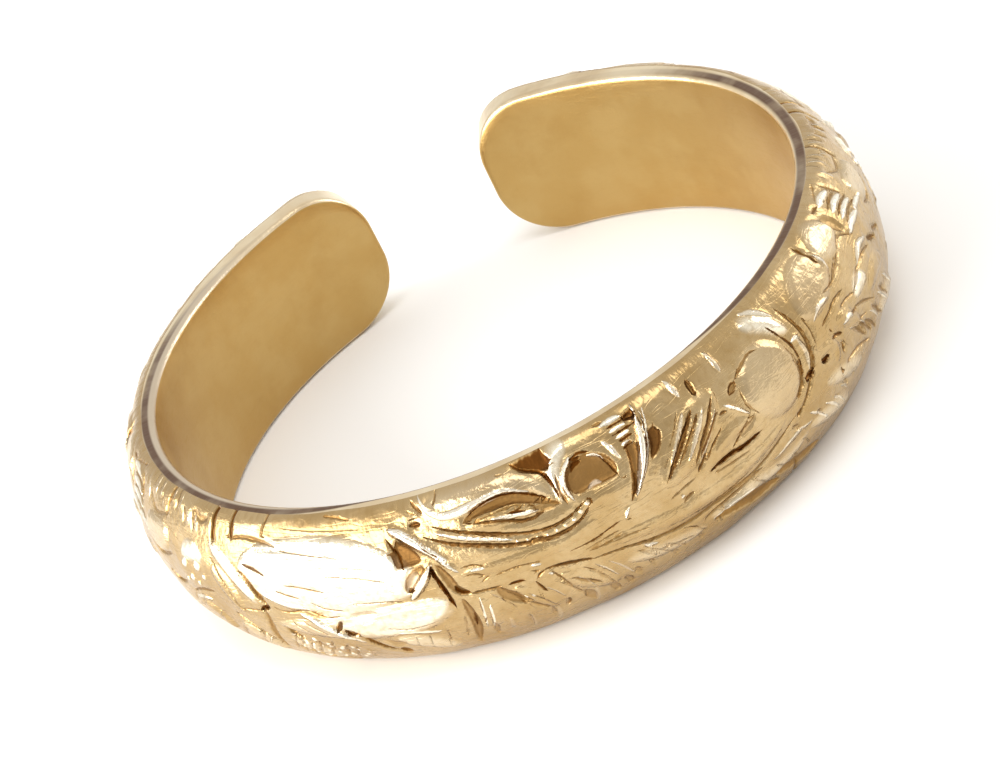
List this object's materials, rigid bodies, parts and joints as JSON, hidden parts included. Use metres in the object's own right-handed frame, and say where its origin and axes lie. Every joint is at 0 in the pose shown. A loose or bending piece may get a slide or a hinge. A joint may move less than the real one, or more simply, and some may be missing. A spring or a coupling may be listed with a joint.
{
  "type": "toe ring",
  "caption": "Open adjustable toe ring: a domed metal band with rounded free ends and a leaf and scroll pattern raised and cut round the outside.",
  "frame": {"origin": "the middle of the toe hole, on its axis and halfway across the band", "axes": "+Z along the toe, up as the ring lies on its side; +Y towards the gap between the free ends; +X to the right, seen from the front of the pattern"},
  "size_m": [0.0184, 0.0182, 0.004],
  "materials": {
    "gold": "polished outside with darkened cut lines, satin inside"
  },
  "bodies": {
    "root": {"band": "gold"}
  },
  "joints": []
}
